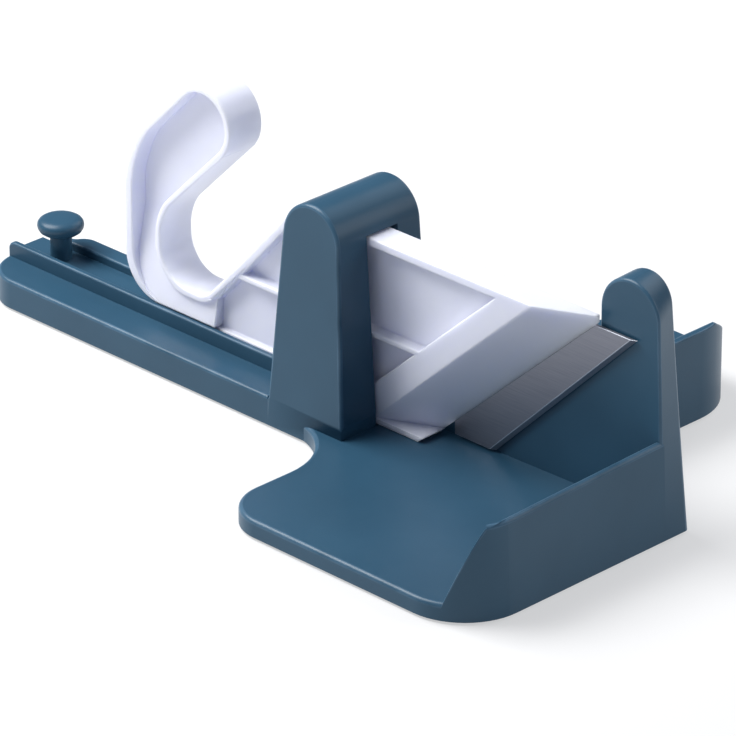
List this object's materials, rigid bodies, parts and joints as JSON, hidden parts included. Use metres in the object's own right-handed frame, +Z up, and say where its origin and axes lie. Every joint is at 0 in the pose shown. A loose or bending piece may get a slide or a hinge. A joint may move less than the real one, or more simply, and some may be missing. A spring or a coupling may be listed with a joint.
{
  "type": "sausage guillotine slicer",
  "caption": "Tabletop sausage slicer: a hook-handled carriage slides along a rail through an arched bridge and pushes a slanted blade past an end wall, between a feed tray and a slice tray.",
  "frame": {"origin": "on the table, under the middle of the whole slicer's box", "axes": "+X along the rail from the stop knob to the slice tray's outer wall, +Y from the slice tray to the feed tray, +Z up"},
  "size_m": [0.373, 0.2426, 0.1322],
  "materials": {
    "slate_plastic": "satin moulded slate-blue plastic",
    "white_plastic": "smooth moulded white plastic",
    "blade_steel": "brushed stainless steel",
    "screw_steel": "bright zinc-plated steel",
    "foot_rubber": "dark soft rubber"
  },
  "bodies": {
    "base": {"guide_rail": "slate_plastic", "bridge": "slate_plastic", "slice_tray": "slate_plastic", "end_wall": "slate_plastic", "feed_tray": "slate_plastic", "bridge_screw_1": "screw_steel", "bridge_screw_2": "screw_steel", "bridge_screw_3": "screw_steel", "bridge_screw_4": "screw_steel", "end_wall_screw_1": "screw_steel", "end_wall_screw_2": "screw_steel", "end_wall_screw_3": "screw_steel", "foot_rail_front": "foot_rubber", "foot_rail_back": "foot_rubber", "foot_tray_left": "foot_rubber", "foot_tray_right": "foot_rubber", "foot_feed_left": "foot_rubber", "foot_feed_right": "foot_rubber"},
    "carriage": {"carriage": "white_plastic", "blade": "blade_steel", "blade_screw_1": "screw_steel", "blade_screw_2": "screw_steel", "blade_screw_3": "screw_steel"},
    "stop_knob": {"stop_knob": "slate_plastic"}
  },
  "joints": [
    {"name": "carriage_slide", "type": "slide", "parent": "base", "child": "carriage", "axis": [1, 0, 0], "range_m": [-0.041, 0.012]},
    {"name": "stop_knob_lift", "type": "slide", "parent": "base", "child": "stop_knob", "axis": [0, 0, 1], "range_m": [0, 0.012]}
  ]
}
